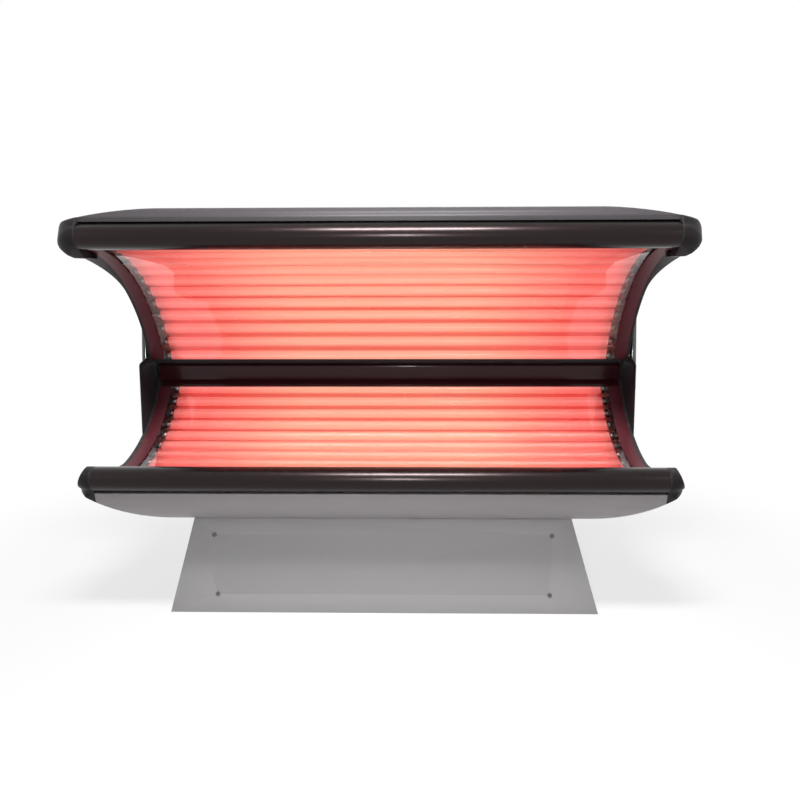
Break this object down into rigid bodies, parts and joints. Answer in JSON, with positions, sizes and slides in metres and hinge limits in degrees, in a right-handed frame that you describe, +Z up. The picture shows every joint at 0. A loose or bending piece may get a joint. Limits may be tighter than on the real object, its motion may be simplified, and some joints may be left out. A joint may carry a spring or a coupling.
{
  "type": "red light therapy bed",
  "caption": "Clamshell light therapy bed: a curved clear bench over tube lamps on a trapezoid pedestal, with a rear-hinged lamp canopy held up by gas struts.",
  "frame": {"origin": "on the floor under the middle of the pedestal, at the centre of its base plate's lower face", "axes": "+X along the bed to the right as seen from the open front, -Y out of the open front, +Z up"},
  "size_m": [2.058, 0.717, 1.4163],
  "materials": {
    "panel_paint": "satin grey powder coat",
    "frame_paint": "black paint",
    "zinc": "galvanised",
    "screw_black": "black oxide",
    "gear_plastic": "moulded black",
    "terminal_plastic": "moulded white",
    "rail_finish": "satin dark bronze",
    "band_gloss": "glossy black",
    "cap_plastic": "fine-grained black",
    "trim_plastic": "satin dark",
    "acrylic": "clear acrylic",
    "reflector": "bright anodised",
    "lamp_glass": "phosphor-coated glass",
    "lamp_metal": "pressed aluminium",
    "holder_plastic": "white moulded",
    "ballast_paint": "white enamel",
    "steel_bright": "turned, zinc plated",
    "strut_black": "gloss black",
    "strut_chrome": "hard chrome",
    "shell_finish": "satin charcoal"
  },
  "bodies": {
    "bench": {"pedestal_base_plate": "zinc", "pedestal_frame": "frame_paint", "pedestal_front_panel": "panel_paint", "pedestal_rear_panel": "panel_paint", "pedestal_side_panel_left": "panel_paint", "pedestal_side_panel_right": "panel_paint", "pedestal_panel_screws": "screw_black", "mains_gland": "gear_plastic", "control_plate": "zinc", "contactor": "gear_plastic", "terminal_block": "terminal_plastic", "bench_pan": "panel_paint", "bench_rear_cover": "panel_paint", "bench_beams": "frame_paint", "bench_ribs": "frame_paint", "bench_end_plates": "frame_paint", "bench_front_rail": "rail_finish", "bench_rear_rail": "band_gloss", "bench_end_cap_left": "cap_plastic", "bench_end_cap_right": "cap_plastic", "bench_end_trim_left": "trim_plastic", "bench_end_trim_right": "trim_plastic", "bench_acrylic": "acrylic", "bench_reflector": "reflector", "bench_lamps": "lamp_glass", "bench_lamp_caps": "lamp_metal", "bench_lampholders": "holder_plastic", "bench_holder_plates": "zinc", "bench_ballasts": "ballast_paint", "bench_fan_frames": "gear_plastic", "bench_hinge_plates": "frame_paint", "hinge_pins": "steel_bright", "strut_lower_studs": "steel_bright"},
    "canopy": {"strut_upper_studs": "steel_bright", "canopy_hinge_arms": "frame_paint", "canopy_shell": "shell_finish", "canopy_ribs": "frame_paint", "canopy_end_plates": "frame_paint", "canopy_front_rail": "rail_finish", "canopy_rear_rail": "cap_plastic", "canopy_end_cap_left": "cap_plastic", "canopy_end_cap_right": "cap_plastic", "canopy_end_trim_left": "trim_plastic", "canopy_end_trim_right": "trim_plastic", "canopy_acrylic": "acrylic", "canopy_reflector": "reflector", "canopy_lamps": "lamp_glass", "canopy_lamp_caps": "lamp_metal", "canopy_lampholders": "holder_plastic", "canopy_holder_plates": "zinc", "canopy_ballasts": "ballast_paint", "canopy_fan_frames": "gear_plastic"},
    "strut_cylinder_left": {"strut_cylinder_left": "strut_black"},
    "strut_cylinder_right": {"strut_cylinder_right": "strut_black"},
    "strut_rod_left": {"strut_rod_left": "strut_chrome"},
    "strut_rod_right": {"strut_rod_right": "strut_chrome"},
    "bench_fan_rotor_left": {"bench_fan_rotor_left": "gear_plastic"},
    "bench_fan_rotor_right": {"bench_fan_rotor_right": "gear_plastic"},
    "canopy_fan_rotor_left": {"canopy_fan_rotor_left": "gear_plastic"},
    "canopy_fan_rotor_right": {"canopy_fan_rotor_right": "gear_plastic"}
  },
  "joints": [
    {"name": "canopy_tilt", "type": "hinge", "parent": "bench", "child": "canopy", "pos_m": [0, 0.318, 0.83], "axis": [1, 0, 0], "range_deg": [0, 38]},
    {"name": "strut_left_swing", "type": "hinge", "parent": "bench", "child": "strut_rod_left", "pos_m": [-0.975, 0.168, 0.545], "axis": [1, 0, 0], "range_deg": [0, 15.85]},
    {"name": "strut_left_extend", "type": "slide", "parent": "strut_rod_left", "child": "strut_cylinder_left", "axis": [0, 0.1485, 0.9889], "range_m": [-0.0928, 0]},
    {"name": "strut_right_swing", "type": "hinge", "parent": "bench", "child": "strut_rod_right", "pos_m": [0.975, 0.168, 0.545], "axis": [1, 0, 0], "range_deg": [0, 15.85]},
    {"name": "strut_right_extend", "type": "slide", "parent": "strut_rod_right", "child": "strut_cylinder_right", "axis": [0, 0.1485, 0.9889], "range_m": [-0.0928, 0]},
    {"name": "bench_fan_left_spin", "type": "hinge", "parent": "bench", "child": "bench_fan_rotor_left", "pos_m": [-0.4, 0, 0.386], "axis": [0, 0, 1], "continuous": true},
    {"name": "canopy_fan_left_spin", "type": "hinge", "parent": "canopy", "child": "canopy_fan_rotor_left", "pos_m": [-0.4, 0.17735, 1.16436], "axis": [0, 0.766, 0.6428], "continuous": true},
    {"name": "bench_fan_right_spin", "type": "hinge", "parent": "bench", "child": "bench_fan_rotor_right", "pos_m": [0.4, 0, 0.386], "axis": [0, 0, 1], "continuous": true},
    {"name": "canopy_fan_right_spin", "type": "hinge", "parent": "canopy", "child": "canopy_fan_rotor_right", "pos_m": [0.4, 0.17735, 1.16436], "axis": [0, 0.766, 0.6428], "continuous": true}
  ],
  "couplings": [
    {"joint": "strut_left_swing", "follows": "canopy_tilt", "ratio": 0.417},
    {"joint": "strut_left_extend", "follows": "canopy_tilt", "m_per_rad": -0.1399},
    {"joint": "strut_right_swing", "follows": "canopy_tilt", "ratio": 0.417},
    {"joint": "strut_right_extend", "follows": "canopy_tilt", "m_per_rad": -0.1399}
  ]
}
